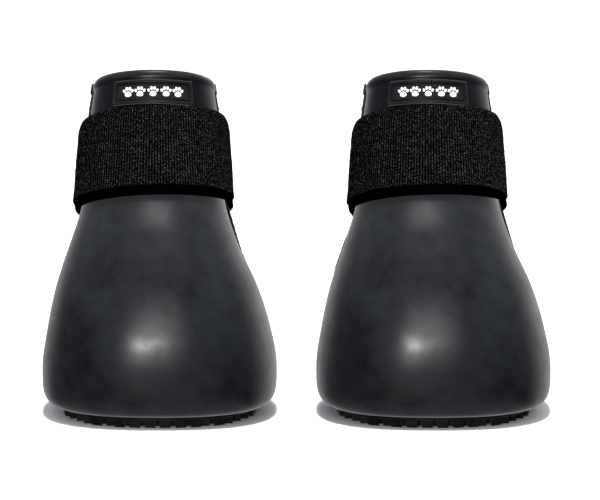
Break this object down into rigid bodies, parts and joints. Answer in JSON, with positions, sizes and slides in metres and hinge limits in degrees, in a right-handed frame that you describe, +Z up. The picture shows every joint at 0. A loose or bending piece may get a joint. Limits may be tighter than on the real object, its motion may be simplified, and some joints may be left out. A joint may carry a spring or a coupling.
{
  "type": "pair of dog boots",
  "caption": "Pair of moulded-rubber dog boots with a bulbous closed toe, lugged sole, rear gusset and wide hook-and-loop ankle strap.",
  "frame": {"origin": "middle of the pair's box, on the ground", "axes": "+Z up, toes towards -Y, +X towards the right boot as seen from the front"},
  "size_m": [0.1572, 0.0818, 0.1063],
  "materials": {
    "shell_rubber": "matte, lightly mottled moulded rubber",
    "outsole_rubber": "matte moulded rubber",
    "gusset_fabric": "stretch knit over foam",
    "binding_tape": "woven binding tape",
    "thread": "twisted polyester thread",
    "strap_pile": "ribbed loop-pile webbing",
    "hook_tape": "moulded hook tape",
    "badge_rubber": "moulded soft rubber",
    "badge_white": "moulded soft white rubber",
    "footbed_foam": "closed-cell foam",
    "footbed_fabric": "brushed knit"
  },
  "bodies": {
    "left_boot": {"left_shell": "shell_rubber", "left_rear_gusset": "gusset_fabric", "left_collar_binding": "binding_tape", "left_gusset_stitching": "thread", "left_outsole": "outsole_rubber", "left_footbed": "footbed_foam", "left_footbed_cover": "footbed_fabric", "left_strap_anchor": "strap_pile", "left_anchor_stitching": "thread", "left_badge": "badge_rubber", "left_badge_mark": "badge_white"},
    "left_strap_front": {"left_strap_front": "strap_pile"},
    "left_strap_tab": {"left_strap_tab": "strap_pile", "left_hook_patch": "hook_tape", "left_tab_stitching": "thread"},
    "right_boot": {"right_shell": "shell_rubber", "right_rear_gusset": "gusset_fabric", "right_collar_binding": "binding_tape", "right_gusset_stitching": "thread", "right_outsole": "outsole_rubber", "right_footbed": "footbed_foam", "right_footbed_cover": "footbed_fabric", "right_strap_anchor": "strap_pile", "right_anchor_stitching": "thread", "right_badge": "badge_rubber", "right_badge_mark": "badge_white"},
    "right_strap_front": {"right_strap_front": "strap_pile"},
    "right_strap_tab": {"right_strap_tab": "strap_pile", "right_hook_patch": "hook_tape", "right_tab_stitching": "thread"}
  },
  "joints": [
    {"name": "right_boot_lift", "type": "slide", "parent": "left_boot", "child": "right_boot", "axis": [0, 0, 1], "range_m": [0, 0.12]},
    {"name": "left_strap_front_hinge", "type": "hinge", "parent": "left_boot", "child": "left_strap_front", "pos_m": [-0.06768, 0.01145, 0.07525], "axis": [-0.0907, -0.3111, -0.946], "range_deg": [0, 77]},
    {"name": "left_strap_tab_hinge", "type": "hinge", "parent": "left_strap_front", "child": "left_strap_tab", "pos_m": [-0.02062, 0.01145, 0.07525], "axis": [0.0913, -0.3111, -0.946], "range_deg": [0, 110]},
    {"name": "right_strap_front_hinge", "type": "hinge", "parent": "right_boot", "child": "right_strap_front", "pos_m": [0.01702, 0.01145, 0.07525], "axis": [-0.0907, -0.3111, -0.946], "range_deg": [0, 77]},
    {"name": "right_strap_tab_hinge", "type": "hinge", "parent": "right_strap_front", "child": "right_strap_tab", "pos_m": [0.06408, 0.01145, 0.07525], "axis": [0.0913, -0.3111, -0.946], "range_deg": [0, 110]}
  ],
  "couplings": [
    {"joint": "left_strap_tab_hinge", "follows": "left_strap_front_hinge", "ratio": 1.4285},
    {"joint": "right_strap_tab_hinge", "follows": "right_strap_front_hinge", "ratio": 1.4285}
  ]
}
